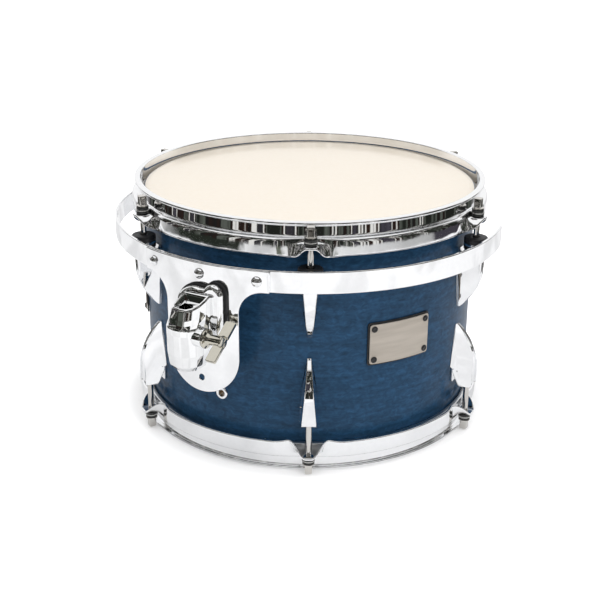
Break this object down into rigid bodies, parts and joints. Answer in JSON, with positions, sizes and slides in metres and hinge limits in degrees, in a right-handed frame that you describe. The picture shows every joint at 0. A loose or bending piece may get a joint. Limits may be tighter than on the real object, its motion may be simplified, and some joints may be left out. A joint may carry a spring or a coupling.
{
  "type": "tom-tom drum",
  "caption": "Rack tom with a stained wooden shell, clear heads, triple-flanged chrome hoops, blade lugs, tension rods and a suspended holder bracket with a wing-nut clamp.",
  "frame": {"origin": "middle of the base of the bounding box, on the plane of the lower hoop's rim", "axes": "+Z along the drum's axis towards the batter head, -Y towards the lug between the holder bracket and the badge"},
  "size_m": [0.3492, 0.382, 0.2213],
  "materials": {
    "chrome": "polished chrome plate",
    "rod_chrome": "bright plated steel",
    "stained_maple": "dark blue stain under clear satin lacquer",
    "clear_film": "clear polyester film",
    "flesh_hoop_aluminium": "satin",
    "black_rubber": "satin black",
    "washer_stack": "dark nylon and plated steel",
    "zinc_plated_steel": "zinc plated",
    "brushed_nickel": "brushed warm silver"
  },
  "bodies": {
    "drum": {"badge_gasket": "black_rubber", "badge_plate": "brushed_nickel", "batter_flesh_hoop": "flesh_hoop_aluminium", "batter_head_film": "clear_film", "bracket_body": "chrome", "bracket_gasket": "black_rubber", "grommet_1": "black_rubber", "grommet_2": "black_rubber", "grommet_5": "black_rubber", "grommet_6": "black_rubber", "lower_hoop": "chrome", "lower_lug_1": "chrome", "lower_lug_2": "chrome", "lower_lug_3": "chrome", "lower_lug_4": "chrome", "lower_lug_5": "chrome", "lower_lug_6": "chrome", "lower_washer_1": "washer_stack", "lower_washer_2": "washer_stack", "lower_washer_3": "washer_stack", "lower_washer_4": "washer_stack", "lower_washer_5": "washer_stack", "lower_washer_6": "washer_stack", "mount_band": "chrome", "mount_plate": "chrome", "plate_rivet_1": "chrome", "plate_rivet_2": "chrome", "plate_rivet_3": "chrome", "resonant_flesh_hoop": "flesh_hoop_aluminium", "resonant_head_film": "clear_film", "shell": "stained_maple", "side_badge": "black_rubber", "upper_hoop": "chrome", "upper_lug_1": "chrome", "upper_lug_2": "chrome", "upper_lug_3": "chrome", "upper_lug_4": "chrome", "upper_lug_5": "chrome", "upper_lug_6": "chrome", "upper_washer_1": "washer_stack", "upper_washer_2": "washer_stack", "upper_washer_3": "washer_stack", "upper_washer_4": "washer_stack", "upper_washer_5": "washer_stack", "upper_washer_6": "washer_stack", "vent_eyelet": "chrome"},
    "upper_rod_1_body": {"upper_rod_1": "rod_chrome"},
    "upper_rod_2_body": {"upper_rod_2": "rod_chrome"},
    "upper_rod_3_body": {"upper_rod_3": "rod_chrome"},
    "upper_rod_4_body": {"upper_rod_4": "rod_chrome"},
    "upper_rod_5_body": {"upper_rod_5": "rod_chrome"},
    "upper_rod_6_body": {"upper_rod_6": "rod_chrome"},
    "lower_rod_1_body": {"lower_rod_1": "rod_chrome"},
    "lower_rod_2_body": {"lower_rod_2": "rod_chrome"},
    "lower_rod_3_body": {"lower_rod_3": "rod_chrome"},
    "lower_rod_4_body": {"lower_rod_4": "rod_chrome"},
    "lower_rod_5_body": {"lower_rod_5": "rod_chrome"},
    "lower_rod_6_body": {"lower_rod_6": "rod_chrome"},
    "wing_nut_body": {"wing_nut": "chrome"},
    "eyebolt_body": {"clamp_eyebolt": "zinc_plated_steel"}
  },
  "joints": [
    {"name": "upper_rod_1_turn", "type": "hinge", "parent": "drum", "child": "upper_rod_1_body", "pos_m": [0.00432, -0.14769, 0.1953], "axis": [0, 0, -1], "continuous": true},
    {"name": "upper_rod_2_turn", "type": "hinge", "parent": "drum", "child": "upper_rod_2_body", "pos_m": [0.14747, -0.06504, 0.1953], "axis": [0, 0, -1], "continuous": true},
    {"name": "upper_rod_3_turn", "type": "hinge", "parent": "drum", "child": "upper_rod_3_body", "pos_m": [0.14747, 0.10026, 0.1953], "axis": [0, 0, -1], "continuous": true},
    {"name": "upper_rod_4_turn", "type": "hinge", "parent": "drum", "child": "upper_rod_4_body", "pos_m": [0.00432, 0.18291, 0.1953], "axis": [0, 0, -1], "continuous": true},
    {"name": "upper_rod_5_turn", "type": "hinge", "parent": "drum", "child": "upper_rod_5_body", "pos_m": [-0.13883, 0.10026, 0.1953], "axis": [0, 0, -1], "continuous": true},
    {"name": "upper_rod_6_turn", "type": "hinge", "parent": "drum", "child": "upper_rod_6_body", "pos_m": [-0.13883, -0.06504, 0.1953], "axis": [0, 0, -1], "continuous": true},
    {"name": "lower_rod_1_turn", "type": "hinge", "parent": "drum", "child": "lower_rod_1_body", "pos_m": [0.00432, -0.14769, 0.026], "axis": [0, 0, 1], "continuous": true},
    {"name": "lower_rod_2_turn", "type": "hinge", "parent": "drum", "child": "lower_rod_2_body", "pos_m": [0.14747, -0.06504, 0.026], "axis": [0, 0, 1], "continuous": true},
    {"name": "lower_rod_3_turn", "type": "hinge", "parent": "drum", "child": "lower_rod_3_body", "pos_m": [0.14747, 0.10026, 0.026], "axis": [0, 0, 1], "continuous": true},
    {"name": "lower_rod_4_turn", "type": "hinge", "parent": "drum", "child": "lower_rod_4_body", "pos_m": [0.00432, 0.18291, 0.026], "axis": [0, 0, 1], "continuous": true},
    {"name": "lower_rod_5_turn", "type": "hinge", "parent": "drum", "child": "lower_rod_5_body", "pos_m": [-0.13883, 0.10026, 0.026], "axis": [0, 0, 1], "continuous": true},
    {"name": "lower_rod_6_turn", "type": "hinge", "parent": "drum", "child": "lower_rod_6_body", "pos_m": [-0.13883, -0.06504, 0.026], "axis": [0, 0, 1], "continuous": true},
    {"name": "wing_nut_turn", "type": "hinge", "parent": "drum", "child": "wing_nut_body", "pos_m": [-0.07803, -0.16785, 0.133], "axis": [-0.8712, 0.4909, 0], "range_deg": [0, 720]},
    {"name": "eyebolt_draw", "type": "slide", "parent": "drum", "child": "eyebolt_body", "axis": [0.8712, -0.4909, 0], "range_m": [0, 0.0025]}
  ],
  "couplings": [
    {"joint": "eyebolt_draw", "follows": "wing_nut_turn", "m_per_rad": 0.00019894}
  ]
}
